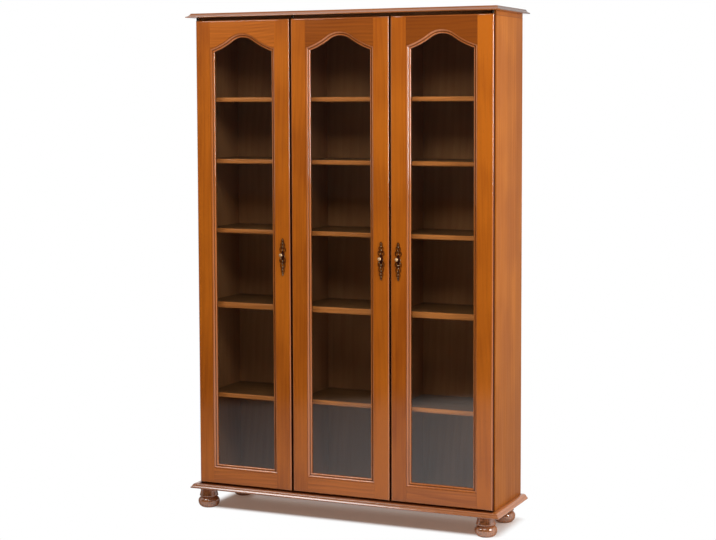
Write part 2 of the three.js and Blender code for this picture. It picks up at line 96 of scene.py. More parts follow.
def calc(operation, *values):
    # The node goes into the tree that the first socket among its values belongs to.
    tree = next(value.id_data for value in values if isinstance(value, bpy.types.NodeSocket))
    return addNode(tree, "Math", dict(enumerate(values)), operation=operation).outputs[0]


def blendColour(factor, first, second):
    # Sockets 0, 6 and 7 are the factor and the two colours.
    return addNode(factor.id_data, "Mix", {0: factor, 6: first, 7: second}, data_type="RGBA").outputs[2]


def blendValue(factor, first, second):
    # Sockets 0, 2 and 3 are the factor and the two values.
    return addNode(factor.id_data, "Mix", {0: factor, 2: first, 3: second}, data_type="FLOAT").outputs[0]


def spread(value, fromLow, fromHigh, toLow=0.0, toHigh=1.0):
    limits = {"Value": value, "From Min": fromLow, "From Max": fromHigh, "To Min": toLow, "To Max": toHigh}
    return addNode(value.id_data, "MapRange", limits, interpolation_type="SMOOTHSTEP").outputs[0]


def objectPlace(tree):
    return addNode(tree, "TexCoord").outputs["Object"]


def splitAxes(vector):
    return addNode(vector.id_data, "SeparateXYZ", {0: vector}).outputs


def newMaterial(name):
    material = bpy.data.materials.new(name)
    material.use_nodes = True
    tree = material.node_tree
    tree.nodes.clear()
    shader = addNode(tree, "BsdfPrincipled")
    addNode(tree, "OutputMaterial", {0: shader.outputs[0]})
    return material, tree, shader


def setSurface(tree, node):
    fillInputs(tree, tree.get_output_node("ALL"), {0: node.outputs[0]})


def addObject(name, data):
    made = bpy.data.objects.new(name, data)
    bpy.context.scene.collection.objects.link(made)
    return made


def meshFrom(name, bm):
    mesh = bpy.data.meshes.new(name)
    bm.to_mesh(mesh)
    bm.free()
    return mesh


def pieceName(node):
    first, *others = node.split("_")
    return first + "".join(word.capitalize() for word in others)


def addPiece(node, bm, body, materials):
    # A shown piece in place of one node. It is placed in the frame already.
    name = pieceName(node)
    piece = addObject(name, meshFrom(name, bm))
    for material in materials:
        piece.data.materials.append(material)
    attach(piece, body)
    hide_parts(node)
    return piece


def bakedShape(source):
    # The shape of an object with its modifier or its filled curve worked out.
    bpy.context.view_layer.update()
    mesh = bpy.data.meshes.new_from_object(source.evaluated_get(bpy.context.evaluated_depsgraph_get()))
    bm = bmesh.new()
    bm.from_mesh(mesh)
    bpy.data.meshes.remove(mesh)
    return bm


def smoothShape(bm, sharpAngle=joinerySharpAngle):
    limit = math.radians(sharpAngle)
    for face in bm.faces:
        face.smooth = True
    for edge in bm.edges:
        edge.smooth = len(edge.link_faces) == 2 and edge.calc_face_angle(0) < limit


def standUp(bm):
    # What was drawn lying flat is turned to face the front.
    bmesh.ops.rotate(bm, verts=bm.verts, matrix=Matrix.Rotation(math.radians(90), 3, "X"))


def moveTo(bm, x, y, z):
    bmesh.ops.translate(bm, verts=bm.verts, vec=(x, y, z))


def bandBetween(first, second, closed=True):
    # Four-cornered faces between two rows of as many corners.
    count = len(first)
    return [[first[i], first[(i + 1) % count], second[(i + 1) % count], second[i]]
            for i in range(count if closed else count - 1)]


def closeShape(polygons, finishes=(), sharpAngle=joinerySharpAngle):
    # A closed body from its faces, each a list of corners in metres. Faces past the finishes take the first.
    bm = bmesh.new()
    for i, corners in enumerate(polygons):
        face = bm.faces.new([bm.verts.new(corner) for corner in corners])
        face.material_index = finishes[i] if i < len(finishes) else 0
    bmesh.ops.remove_doubles(bm, verts=bm.verts, dist=weldDistance)
    bmesh.ops.dissolve_degenerate(bm, edges=bm.edges, dist=weldDistance)
    bmesh.ops.recalc_face_normals(bm, faces=bm.faces)
    smoothShape(bm, sharpAngle)
    return bm


def cutAcross(bm, place, across):
    # New edges where a plane crosses the shape. Nothing is taken away.
    whole = bm.verts[:] + bm.edges[:] + bm.faces[:]
    bmesh.ops.bisect_plane(bm, geom=whole, plane_co=place, plane_no=across)


def evenShading(piece):
    # Large flat faces keep their own normal, so only the rounded edges shade round.
    even = piece.modifiers.new("evenShading", "WEIGHTED_NORMAL")
    even.weight = 100
    even.keep_sharp = True


def quarterTurn(steps):
    return [math.pi / 2 * i / steps for i in range(steps + 1)]


def arrisCurve(radius, steps):
    # A rounded corner, from the side face round to the front face: distance from the side, and depth.
    return [(radius * (1 - math.cos(turn)), radius * (1 - math.sin(turn))) for turn in quarterTurn(steps)]


# Camera: where the photograph was taken from, in metres and degrees

photoCamera = {
    "place": (2.644, -5.967, 1.651),
    "turn": 23.815,
    "dip": 4.381,
    "roll": -0.196,
    "focalPixels": 1656.9,
    "imageWidth": 716,
    "raise": -42,
    "sensorWidth": 36,
}


def makeCamera(look):
    data = bpy.data.cameras.new("photoCamera")
    camera = addObject("photoCamera", data)
    data.sensor_width = look["sensorWidth"]
    data.lens = look["sensorWidth"] * look["focalPixels"] / look["imageWidth"]
    data.shift_y = look["raise"] / look["imageWidth"]
    # An unturned camera looks straight down, so a quarter turn makes it level.
    turn = Matrix.Rotation(math.radians(look["turn"]), 4, "Z")
    dip = Matrix.Rotation(math.radians(90 - look["dip"]), 4, "X")
    roll = Matrix.Rotation(math.radians(look["roll"]), 4, "Z")
    camera.matrix_world = Matrix.Translation(look["place"]) @ turn @ dip @ roll
    bpy.context.scene.camera = camera


makeCamera(photoCamera)
print("camera made")


# Floor, background and lamps

studio = {
    "floorSize": 40.0,
    "floorColour": stained(236, 236, 236),
    "floorRoughness": 0.9,
    "floorSpecular": 0.1,
    # A warm painted glow on the floor under the bookcase stands in for light bounced from the wood.
    "floorLift": 0.13,
    "liftColour": stained(255, 214, 186),
    "shadeArea": {"middle": 0.045, "halfWidth": 0.60, "halfDepth": 0.13},
    "clearFrom": 0.0,
    "clearTo": 0.055,
    "skyLevel": 0.2,
    "frontLevel": 0.02,
    "frontFade": (-0.6, -0.1),
    # For mirror rays the floor carries painted light: it ends in front along a slanting line and grows
    # brighter towards the right, so the panes show a painted reflection.
    "floorEdge": {"slant": 0.585, "offset": 3.18, "soft": 0.25},
    "mirroredFloor": {"slope": 0.45, "offset": 0.9, "low": 0.25, "high": 0.95, "beyond": 0.02},
    "lamps": {
        "topLamp": {"place": (0.7, -1.9, 2.95), "aim": (0.2, 0.0, 1.0), "size": (1.4, 0.9), "watts": 26},
        "rightLamp": {"place": (2.4, -0.72, 1.8), "aim": (0.4, -0.05, 1.1), "size": (0.5, 1.2), "watts": 40},
        "leftLamp": {"place": (-1.5, -1.78, 2.5), "aim": (-0.2, -0.1, 0.9), "size": (1.3, 0.6), "watts": 19},
        "backLamp": {"place": (-1.6, 3.2, 2.6), "aim": (0.0, 0.0, 1.0), "size": (1.6, 1.6), "watts": 30},
    },
}


def whoLooks(tree):
    # The rays that see the white background, which are camera, mirror and glass rays, and the mirror rays.
    rays = addNode(tree, "LightPath").outputs
    seen = calc("MAXIMUM", rays["Is Camera Ray"], rays["Is Glossy Ray"])
    return calc("MAXIMUM", seen, rays["Is Transmission Ray"]), rays["Is Glossy Ray"]


def makeFloor(look):
    bm = bmesh.new()
    bmesh.ops.create_grid(bm, x_segments=1, y_segments=1, size=look["floorSize"] / 2)
    floor = addObject("studioFloor", meshFrom("studioFloor", bm))
    material, tree, shader = newMaterial("paleFloor")
    fillInputs(tree, shader, {"Base Color": look["floorColour"], "Roughness": look["floorRoughness"],
                              "Specular IOR Level": look["floorSpecular"]})
    # The floor is plain white outside a rectangle under the bookcase. Inside it the lamps shade it, and a
    # warm painted glow is added that stands in for light bounced from the wood.
    seen, mirrorRay = whoLooks(tree)
    axes = splitAxes(objectPlace(tree))
    shade = look["shadeArea"]
    centred = calc("SUBTRACT", axes["Y"], shade["middle"])
    squares = []
    for value, half in ((axes["X"], shade["halfWidth"]), (centred, shade["halfDepth"])):
        outside = calc("SUBTRACT", calc("ABSOLUTE", value), half)
        squares.append(calc("POWER", calc("MAXIMUM", outside, 0.0), 2.0))
    away = calc("SQRT", calc("ADD", *squares))
    clear = spread(away, look["clearFrom"], look["clearTo"])
    # The warm glow is painted bounce light, seen by camera, mirror and glass rays.
    lift = addNode(tree, "Emission", {
        "Color": look["liftColour"], "Strength": calc("MULTIPLY", seen, look["floorLift"])})
    shaded = addNode(tree, "AddShader", {0: shader.outputs[0], 1: lift.outputs[0]})
    # Painted reflection: mirror rays see the floor glow brighter to the right, ending along a slanting line.
    edge, mirrored = look["floorEdge"], look["mirroredFloor"]
    inward = calc("MULTIPLY_ADD", axes["X"], edge["slant"], edge["offset"])
    inward = calc("ADD", axes["Y"], inward)
    near = spread(inward, -edge["soft"], edge["soft"], mirrored["beyond"], 1.0)
    ramp = calc("MULTIPLY_ADD", axes["X"], mirrored["slope"], mirrored["offset"])
    ramp = calc("MINIMUM", calc("MAXIMUM", ramp, mirrored["low"]), mirrored["high"])
    level = blendValue(mirrorRay, 1.0, calc("MULTIPLY", near, ramp))
    plain = addNode(tree, "Emission", {"Color": whiteLight, "Strength": level})
    setSurface(tree, addNode(tree, "MixShader", {
        0: calc("MULTIPLY", clear, seen), 1: shaded.outputs[0], 2: plain.outputs[0]}))
    floor.data.materials.append(material)


def makeWorld(look):
    world = bpy.data.worlds.new("studioWorld")
    bpy.context.scene.world = world
    world.use_nodes = True
    tree = world.node_tree
    tree.nodes.clear()
    # The studio in front of the bookcase is dim, so its panes mirror little there.
    seen, mirrorRay = whoLooks(tree)
    ahead = splitAxes(addNode(tree, "TexCoord").outputs["Generated"])["Y"]
    front = spread(ahead, *look["frontFade"], look["frontLevel"], 1.0)
    level = blendValue(seen, look["skyLevel"], blendValue(mirrorRay, 1.0, front))
    background = addNode(tree, "Background", {"Color": whiteLight, "Strength": level})
    addNode(tree, "OutputWorld", {0: background.outputs[0]})


def makeLamps(look):
    for name, lamp in look["lamps"].items():
        data = bpy.data.lights.new(name, "AREA")
        data.shape = "RECTANGLE"
        data.size, data.size_y = lamp["size"]
        data.energy = lamp["watts"]
        made = addObject(name, data)
        place = Vector(lamp["place"])
        made.location = place
        made.rotation_euler = (Vector(lamp["aim"]) - place).to_track_quat("-Z", "Y").to_euler()


makeFloor(studio)
makeWorld(studio)
makeLamps(studio)
bpy.context.scene.view_settings.view_transform = "Standard"
print("floor, background and lamps made")


# Finishes

woodPattern = {
    # How far a piece's own chance moves it through the pattern
    "ownShift": (7.3, 3.1, 11.7),
    # Noises: scale, detail and stretch along the grain
    "wander": (2.2, 2.0, 0.45),
    "ripple": (26.0, 2.0, 0.06),
    "streak": (150.0, 3.0, 0.022),
    "fine": (900.0, 2.0, 0.02),
    "pore": (1500.0, 1.0, 0.035),
    "cloud": (5.0, 2.0, 0.5),
    "noiseRoughness": 0.55,
    # The heart of the log, beside and behind the board. The rings go round it.
    "heartSide": 0.16,
    "heartLean": 0.3,
    "heartWander": 0.11,
    "heartDepth": 0.07,
    "heartRipple": 0.016,
    # Where in a ring the dark wood starts and ends, and where each noise goes from nothing to full
    "lateWoodStart": (0.15, 0.86),
    "lateWoodEnd": (0.9, 1.0),
    "streakEdges": (0.28, 0.72),
    "poreEdges": (0.64, 0.78),
    "cloudEdges": (0.25, 0.75),
    "fineShare": 0.8,
    "cloudShare": 2.0,
    "poreShare": 0.35,
    "poreColour": (0.03, 0.012, 0.005, 1),
    "glossChange": 0.08,
    "fineHeight": 0.35,
    "poreHeight": 0.6,
}


def makeWoodGroup(look):
    # Growth rings seen on a sawn board, with finer fibre streaks and short dark pores. Grain runs along Z.
    tree = bpy.data.node_groups.new("stainedWood", "ShaderNodeTree")
    sockets = {
        "INPUT": {"Coord": "Vector", "Pale": "Color", "Deep": "Color", "Ring Width": "Float",
                  "Figure": "Float", "Fibre": "Float", "Tone": "Float", "Gloss": "Float"},
        "OUTPUT": {"Colour": "Color", "Roughness": "Float", "Height": "Float"},
    }
    for direction, kinds in sockets.items():
        for label, kind in kinds.items():
            tree.interface.new_socket(label, in_out=direction, socket_type="NodeSocket" + kind)
    given = tree.nodes.new("NodeGroupInput").outputs
    end = tree.nodes.new("NodeGroupOutput")
    own = addNode(tree, "ObjectInfo").outputs["Random"]
    shift = addNode(tree, "CombineXYZ", {
        axis: calc("MULTIPLY", own, reach) for axis, reach in zip("XYZ", look["ownShift"])})
    placed = addNode(tree, "VectorMath", {0: given["Coord"], 1: shift.outputs[0]}, operation="ADD")

    def noise(name):
        scale, detail, stretch = look[name]
        scaled = addNode(tree, "VectorMath", {0: placed.outputs[0], 1: (1.0, 1.0, stretch)},
                         operation="MULTIPLY")
        return addNode(tree, "TexNoise", {
            "Vector": scaled.outputs[0], "Scale": scale, "Detail": detail,
            "Roughness": look["noiseRoughness"]}).outputs["Fac"]

    def fromMiddle(value):
        return calc("SUBTRACT", value, 0.5)

    axes = splitAxes(given["Coord"])
    ownSide = spread(own, 0.0, 1.0, -look["heartSide"], look["heartSide"])
    lean = calc("MULTIPLY_ADD", axes["Z"], calc("MULTIPLY", ownSide, look["heartLean"]), ownSide)
    across = calc("SUBTRACT", calc("ADD", axes["X"], axes["Y"]), lean)
    across = calc("MULTIPLY_ADD", noise("wander"), look["heartWander"], across)
    depth = calc("MULTIPLY_ADD", noise("ripple"), look["heartRipple"], look["heartDepth"])
    squares = calc("ADD", calc("POWER", across, 2.0), calc("POWER", depth, 2.0))
    ring = calc("FRACT", calc("DIVIDE", calc("SQRT", squares), given["Ring Width"]))
    lateWood = calc("MULTIPLY", spread(ring, *look["lateWoodStart"]),
                    spread(ring, *look["lateWoodEnd"], 1.0, 0.0))
    streak = spread(noise("streak"), *look["streakEdges"])
    fine = noise("fine")
    pore = spread(noise("pore"), *look["poreEdges"])
    cloud = spread(noise("cloud"), *look["cloudEdges"])
    fineFibre = calc("MULTIPLY", given["Fibre"], look["fineShare"])
    fibre = calc("MULTIPLY", streak, given["Fibre"])
    fibre = calc("MULTIPLY_ADD", fromMiddle(fine), fineFibre, fibre)
    mixed = calc("ADD", calc("MULTIPLY", lateWood, given["Figure"]), fibre)
    cloudTone = calc("MULTIPLY", given["Tone"], look["cloudShare"])
    mixed = calc("MULTIPLY_ADD", fromMiddle(cloud), cloudTone, mixed)
    mixed = calc("MULTIPLY_ADD", fromMiddle(own), given["Tone"], mixed)
    factor = addNode(tree, "Clamp", {0: mixed}).outputs[0]
    colour = blendColour(factor, given["Pale"], given["Deep"])
    darkPore = calc("MULTIPLY", pore, look["poreShare"])
    height = calc("SUBTRACT", calc("MULTIPLY", fine, look["fineHeight"]),
                  calc("MULTIPLY", pore, look["poreHeight"]))
    fillInputs(tree, end, {
        "Colour": blendColour(darkPore, colour, look["poreColour"]),
        "Roughness": calc("MULTIPLY_ADD", fromMiddle(streak), look["glossChange"], given["Gloss"]),
        "Height": height})
    return tree


woodGroup = makeWoodGroup(woodPattern)


def wood(pale, deep, **changes):
    # A stain from pale to deep. What a wood doesn't change is as on the doors' rails.
    usual = {"ringWidth": 0.014, "figure": 0.3, "fibre": 0.4, "tone": 0.2, "gloss": 0.45,
             "lacquer": 0.9, "polish": 0.1, "lacquerIndex": 1.5, "grain": "X"}
    return {**usual, "pale": pale, "deep": deep, **changes}


woodLooks = {
    "doorStileWood": wood((190, 101, 20), (146, 68, 7), ringWidth=0.021, figure=0.12, fibre=0.3, tone=0.4,
                          grain="Z"),
    "doorRailWood": wood((196, 106, 28), (148, 72, 10), tone=0.22),
    "darkRailWood": wood((158, 82, 16), (122, 55, 6), figure=0.25, fibre=0.35),
    "deepRailWood": wood((138, 68, 10), (108, 46, 4), figure=0.25, fibre=0.35),
    # Raised mouldings and door corners: a glossier lacquer, with a paler tone that is a painted highlight.
    "mouldingWood": wood((192, 108, 44), (156, 80, 26), figure=0.2, gloss=0.35, lacquer=1.0, polish=0.12,
                         lacquerIndex=1.75, grain="Z"),
    # Hollows of the moulding: darker from gathered stain and from painted shade.
    "hollowWood": wood((118, 56, 20), (88, 36, 10), figure=0.2, gloss=0.65, lacquer=0.0, polish=0.2,
                       grain="Z"),
    # Painted shade in the gaps beside and under the doors.
    "gapWood": wood((84, 36, 10), (60, 22, 5), figure=0.2, gloss=0.65, lacquer=0.0, polish=0.2, grain="Z"),
    "beadWood": wood((150, 84, 30), (112, 58, 16), figure=0.25, fibre=0.35, gloss=0.5, lacquer=0.3,
                     polish=0.25, grain="Z"),
    "mouldedWood": wood((172, 98, 42), (126, 66, 22), gloss=0.42, lacquer=1.0, polish=0.14, lacquerIndex=1.9),
    # The base's side returns: grain from front to back, paler as painted light.
    "baseEndWood": wood((200, 124, 70), (160, 90, 44), gloss=0.42, lacquer=0.8, polish=0.16, grain="Y"),
    # The cornice's side returns: grain from front to back, darker as painted shade.
    "mouldedEndWood": wood((104, 56, 24), (78, 40, 14), gloss=0.42, lacquer=0.6, polish=0.16, grain="Y"),
    "shelfWood": wood((204, 122, 60), (160, 88, 38), tone=0.25, lacquer=0.3, polish=0.2),
    # Shelf tops and bottoms, painted dark as painted shade.
    "shelfFaceWood": wood((112, 74, 42), (82, 52, 28), tone=0.25, gloss=0.55, lacquer=0.1, polish=0.25),
    "liningWood": wood((176, 120, 78), (142, 92, 56), ringWidth=0.032, figure=0.15, fibre=0.15, tone=0.3,
                       gloss=0.6, lacquer=0.0, polish=0.2, grain="Z"),
    "footWood": wood((190, 118, 68), (142, 82, 42), ringWidth=0.012, figure=0.4, fibre=0.3, tone=0.15,
                     gloss=0.3, lacquer=1.0, polish=0.12, lacquerIndex=2.1, grain="Z",
                     rimFade=(0.25, 0.6), rimLacquer=0.05),
}
sideLook = wood((188, 108, 30), (152, 78, 12), ringWidth=0.022, figure=0.16, fibre=0.3, tone=0.4, gloss=0.55,
                lacquer=0.08, polish=0.2, grain="Z")
sideLook.update({
    # The inside of the panel starts this far in from the cabinet's outermost side.
    "insideFrom": 0.047,
    "insideBlend": 0.0002,
    "staveWidth": 0.052,
    "staveShade": 0.4,
    "staveDark": (132, 66, 14),
    "jointHeight": 1.967,
    "jointEdges": (0.0008, 0.0022),
    "jointShade": 0.8,
    # A darker strip under the cornice is painted shadow of its lip.
    "stripBlend": 0.0005,
    "stripShade": 0.35,
})
woodSurface = {"specular": 0.08, "relief": 0.35, "reliefDepth": 0.0003}
grainTurns = {"Z": (0, 0, 0), "X": (0, math.radians(90), 0), "Y": (math.radians(90), 0, 0)}


def addFigure(tree, coord, look):
    return addNode(tree, "Group", {
        "Coord": coord, "Pale": stained(*look["pale"]), "Deep": stained(*look["deep"]),
        "Ring Width": look["ringWidth"], "Figure": look["figure"], "Fibre": look["fibre"],
        "Tone": look["tone"], "Gloss": look["gloss"]}, node_tree=woodGroup).outputs


def layWood(tree, shader, colour, roughness, height, lacquer, look):
    # The grain's faint relief, and a coat of lacquer over it.
    bump = addNode(tree, "Bump", {
        "Height": height, "Strength": woodSurface["relief"], "Distance": woodSurface["reliefDepth"]})
    fillInputs(tree, shader, {
        "Base Color": colour, "Roughness": roughness, "Normal": bump.outputs[0],
        "Specular IOR Level": woodSurface["specular"], "Coat Weight": lacquer,
        "Coat Roughness": look["polish"], "Coat IOR": look["lacquerIndex"]})


def makeWood(name, look):
    material, tree, shader = newMaterial(name)
    turned = addNode(tree, "Mapping", {
        "Vector": objectPlace(tree), "Rotation": grainTurns[look["grain"]]})
    figure = addFigure(tree, turned.outputs[0], look)
    layWood(tree, shader, figure["Colour"], figure["Roughness"], figure["Height"], look["lacquer"], look)
    if "rimFade" in look:
        # Round pieces keep their gloss in the middle, so their rims don't turn pale.
        facing = addNode(tree, "LayerWeight", {"Blend": 0.5}).outputs["Facing"]
        coat = spread(facing, *look["rimFade"], look["lacquer"], look["rimLacquer"])
        fillInputs(tree, shader, {"Coat Weight": coat})
    return material


def makeSideFinish(outer, lining):
    # Stained and lacquered outside and along the front edge, plain dark wood inside.
    material, tree, shader = newMaterial("sidePanelFinish")
    coord = objectPlace(tree)
    axes = splitAxes(coord)
    outside, inside = addFigure(tree, coord, outer), addFigure(tree, coord, lining)
    inward = calc("SUBTRACT", cadHigh.x - outer["insideFrom"], calc("ABSOLUTE", axes["X"]))
    inner = spread(inward, -outer["insideBlend"], outer["insideBlend"])
    # The panel is glued up from upright staves, each a little lighter or darker than the next.
    stave = calc("FLOOR", calc("DIVIDE", axes["Y"], outer["staveWidth"]))
    chance = addNode(tree, "TexWhiteNoise", {"W": stave}, noise_dimensions="1D").outputs["Value"]
    shade, dark = calc("MULTIPLY", chance, outer["staveShade"]), stained(*outer["staveDark"])
    colour = blendColour(shade, outside["Colour"], dark)
    # A joint runs across the panel just under the cornice; above it a darker strip is painted shadow of the
    # cornice's lip.
    rise = calc("SUBTRACT", axes["Z"], outer["jointHeight"])
    joint = spread(calc("ABSOLUTE", rise), *outer["jointEdges"], outer["jointShade"], 0.0)
    lipShadow = spread(rise, -outer["stripBlend"], outer["stripBlend"], 0.0, outer["stripShade"])
    colour = blendColour(calc("MAXIMUM", joint, lipShadow), colour, dark)
    colour = blendColour(inner, colour, inside["Colour"])
    roughness = blendValue(inner, outside["Roughness"], inside["Roughness"])
    lacquer = calc("MULTIPLY", calc("SUBTRACT", 1.0, inner), outer["lacquer"])
    layWood(tree, shader, colour, roughness, outside["Height"], lacquer, outer)
    return material


glassLook = {"tint": (0.96, 0.985, 0.97, 1), "shadeTint": (0.93, 0.96, 0.945, 1), "index": 1.5}


def makeGlass(look):
    material, tree, shader = newMaterial("paneGlass")
    fillInputs(tree, shader, {"Base Color": look["tint"], "Roughness": 0.0, "IOR": look["index"],
                              "Transmission Weight": 1.0})
    # Light and shade pass straight through, so the shelves behind the panes are lit.
    rays = addNode(tree, "LightPath").outputs
    passing = calc("MAXIMUM", rays["Is Shadow Ray"], rays["Is Diffuse Ray"])
    clear = addNode(tree, "BsdfTransparent", {"Color": look["shadeTint"]})
    setSurface(tree, addNode(tree, "MixShader", {
        0: passing, 1: shader.outputs[0], 2: clear.outputs[0]}))
    return material


metalLooks = {
    "antiqueBronze": {"colour": (62, 24, 6), "roughness": 0.5, "metallic": 0.1, "specular": 0.06},
    # Bright metal on stud tops and the knob's crown: wear, and a painted highlight.
    "polishedBronze": {"colour": (252, 206, 150), "roughness": 0.2, "metallic": 0.4, "specular": 0.5},
    "darkSteel": {"colour": (60, 50, 42), "roughness": 0.45, "metallic": 1.0, "specular": 0.5},
}
patinaLook = {"scale": 320.0, "detail": 3.0, "edges": (0.35, 0.62), "darkShare": 0.35, "addedRoughness": 0.15}


def makeMetal(name, look, patina):
    material, tree, shader = newMaterial(name)
    noise = addNode(tree, "TexNoise", {
        "Vector": objectPlace(tree), "Scale": patina["scale"], "Detail": patina["detail"]})
    bright = stained(*look["colour"])
    dark = tuple(patina["darkShare"] * part for part in bright[:3]) + (1,)
    rubbed = spread(noise.outputs["Fac"], *patina["edges"])
    dull = look["roughness"] + patina["addedRoughness"]
    fillInputs(tree, shader, {
        "Base Color": blendColour(rubbed, dark, bright),
        "Roughness": spread(rubbed, 0.0, 1.0, dull, look["roughness"]),
        "Metallic": look["metallic"], "Specular IOR Level": look["specular"]})
    return material


woods = {name: makeWood(name, look) for name, look in woodLooks.items()}
sideFinish = makeSideFinish(sideLook, woodLooks["liningWood"])
glass = makeGlass(glassLook)
metals = {name: makeMetal(name, look, patinaLook) for name, look in metalLooks.items()}
catchPlastic = makeWood("catchPlastic", woodLooks["liningWood"])
print("finishes made")


# Feet: turned from one piece, a flattened ball under a narrow collar

footTurning = {
    "sides": 72,
    "contact": 0.022,
    "widest": 0.0436,
    "belly": 0.0255,
    "shoulder": 0.0265,
    "ballHeight": 0.0455,
    "ballSteps": 12,
    "collar": 0.0378,
    "collarHeight": 0.021,
    # The collar's lower edge: how far inside its radius, and how far above the ball
    "waistRise": 0.0006,
    "collarEdge": [(0.0012, 0.0012), (0.0003, 0.0019)],
    "collarStart": 0.0028,
    "collarSteps": 6,
    "neck": 0.0335,
}


def turnedShape(rows, sides):
    # Rows of radius and height from the bottom up. A row with no radius closes the end.
    bm = bmesh.new()
    turns = [2 * math.pi * i / sides for i in range(sides)]
    rings = []
    for radius, height in rows:
        if radius == 0:
            rings.append([bm.verts.new((0, 0, height))])
        else:
            rings.append([bm.verts.new((radius * math.cos(turn), radius * math.sin(turn), height))
                          for turn in turns])
    for low, high in zip(rings, rings[1:]):
        for i in range(sides):
            j = (i + 1) % sides
            corners = [low[i % len(low)], low[j % len(low)], high[j % len(high)], high[i % len(high)]]
            bm.faces.new([v for k, v in enumerate(corners) if v not in corners[:k]])
    return bm


def footRows(look, height):
    # A flattened ball, a narrow waist and a collar that narrows upwards.
    contact, widest, belly, steps = look["contact"], look["widest"], look["belly"], look["ballSteps"]
    rows = [(0, 0), (contact, 0)]
    for turn in quarterTurn(steps)[1:]:
        rows.append((contact + (widest - contact) * math.sin(turn), belly * (1 - math.cos(turn))))
    last = math.asin((look["ballHeight"] - belly) / look["shoulder"])
    for turn in [last * i / steps for i in range(1, steps + 1)]:
        rows.append((widest * math.cos(turn), belly + look["shoulder"] * math.sin(turn)))
    ball, collar, neck = look["ballHeight"], look["collar"], look["neck"]
    rows.append((rows[-1][0], ball + look["waistRise"]))
    rows += [(collar - inset, ball + rise) for inset, rise in look["collarEdge"]]
    start, steps = look["collarStart"], look["collarSteps"]
    rows += [(collar + (neck - collar) * i / steps, ball + start + (look["collarHeight"] - start) * i / steps)
             for i in range(steps + 1)]
    return rows + [(neck, height), (0, height)]


def makeFeet(look):
    for node in ("front_left_foot", "front_right_foot", "back_left_foot", "back_right_foot"):
        low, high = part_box(node)
        bm = turnedShape(footRows(look, high.z - low.z), look["sides"])
        for face in bm.faces:
            face.smooth = True
        centre = (low + high) / 2
        moveTo(bm, centre.x, centre.y, low.z)
        addPiece(node, bm, "cabinet", [woods["footWood"]])


makeFeet(footTurning)
print("feet turned")


# Moulded boards: the cornice above the doors and the base under them, with returns on both sides

mouldedBoards = {
    "sideOverhang": 0.030,
    "sharpAngle": 28,
    "returnLean": 0.05,
    "topBand": 0.0006,
    # Profiles from the bottom up, in millimetres: reach beyond the carcass, and height
    "cornice_board": [
        (28, 0), (29.2, 0.3), (29.8, 0.8), (30, 1.5), (30, 3), (29.7, 3.7), (29, 4.2), (27.8, 4.4),
        (27.2, 5), (25.2, 5.5), (23.2, 6.3), (21.2, 7.4), (19.3, 8.8), (17.6, 10.4), (16.2, 12.1),
        (15.2, 13.9), (14.6, 15.5), (14, 16.5), (13, 17)],
    "base_board": [
        (25, 0), (27.4, 0.4), (29.1, 1.3), (29.9, 2.7), (30, 3.8), (29.6, 4.7), (28.5, 6.3), (26.8, 8.6),
        (25.4, 10.4), (24.3, 11.3), (23.4, 11.7), (23.1, 12.4), (22.9, 13.4), (22.2, 14.8), (20.8, 16.5),
        (18.6, 18.1), (15.8, 19.2), (12.6, 19.7), (9, 20)],
}


def makeMouldedBoard(node, look, endWood):
    low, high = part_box(node)
    overhang = look["sideOverhang"]
    rings = []
    for reach, rise in look[node]:
        back = overhang - reach / perMetre
        left, right, front, level = low.x + back, high.x - back, low.y + back, low.z + rise / perMetre
        corners = ((left, high.y), (left, front), (right, front), (right, high.y))
        rings.append([(x, y, level) for x, y in corners])
    polygons = [rings[0], rings[-1]]
    for lower, upper in zip(rings, rings[1:]):
        polygons += bandBetween(lower, upper, closed=False)
    polygons.append([ring[0] for ring in rings] + [ring[3] for ring in reversed(rings)])
    bm = closeShape(polygons, sharpAngle=look["sharpAngle"])
    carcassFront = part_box("left_side_panel")[0].y
    cutAcross(bm, (low.x + overhang, 0, 0), (1, 0, 0))
    cutAcross(bm, (high.x - overhang, 0, 0), (1, 0, 0))
    cutAcross(bm, (0, carcassFront, 0), (0, 1, 0))
    for face in bm.faces:
        # Faces on the returns have their grain running from front to back; their finish is painted light on
        # the base and painted shade on the cornice. A strip of the base's top under the doors is painted dark
        # as the shade in the gap.
        face.material_index = 1 if abs(face.normal.x) > look["returnLean"] else 0
        middle = face.calc_center_median()
        under = abs(middle.x) < high.x - overhang and middle.y < carcassFront
        if node == "base_board" and middle.z > high.z - look["topBand"] and under:
            face.material_index = 2
    finishes = [woods["mouldedWood"], woods[endWood], woods["gapWood"]]
    evenShading(addPiece(node, bm, "cabinet", finishes))


makeMouldedBoard("cornice_board", mouldedBoards, "mouldedEndWood")
makeMouldedBoard("base_board", mouldedBoards, "baseEndWood")
print("moulded boards made")


# Shelves: boards with rounded front edges

shelfEdge = {"arris": 0.005, "steps": 8, "lipping": 0.007}


def makeShelf(node, look):
    low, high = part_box(node)
    insets = arrisCurve(look["arris"], look["steps"])
    section = [(high.y, low.z)]
    section += [(low.y + depth, low.z + away) for away, depth in insets]
    section += [(low.y + away, high.z - depth) for away, depth in insets]
    section.append((high.y, high.z))
    ends = [[(x, y, z) for y, z in section] for x in (low.x, high.x)]
    bm = closeShape(ends + bandBetween(*ends))
    # Behind a strip along the front, the board's faces are painted dark as painted shade. The strip keeps the
    # lighter wood.
    shadeStart = low.y + look["lipping"]
    cutAcross(bm, (0, shadeStart, 0), (0, 1, 0))
    for face in bm.faces:
        face.smooth = True
        face.material_index = 0 if face.calc_center_median().y < shadeStart else 1
    finishes = [woods["shelfWood"], woods["shelfFaceWood"]]
    evenShading(addPiece(node, bm, "cabinet", finishes))


for nodeName in sorted(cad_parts):
    if "shelf" in nodeName:
        makeShelf(nodeName, shelfEdge)
print("shelves made")


# Doors: two stiles and two rails round the glass, with a moulding worked on their inner edges

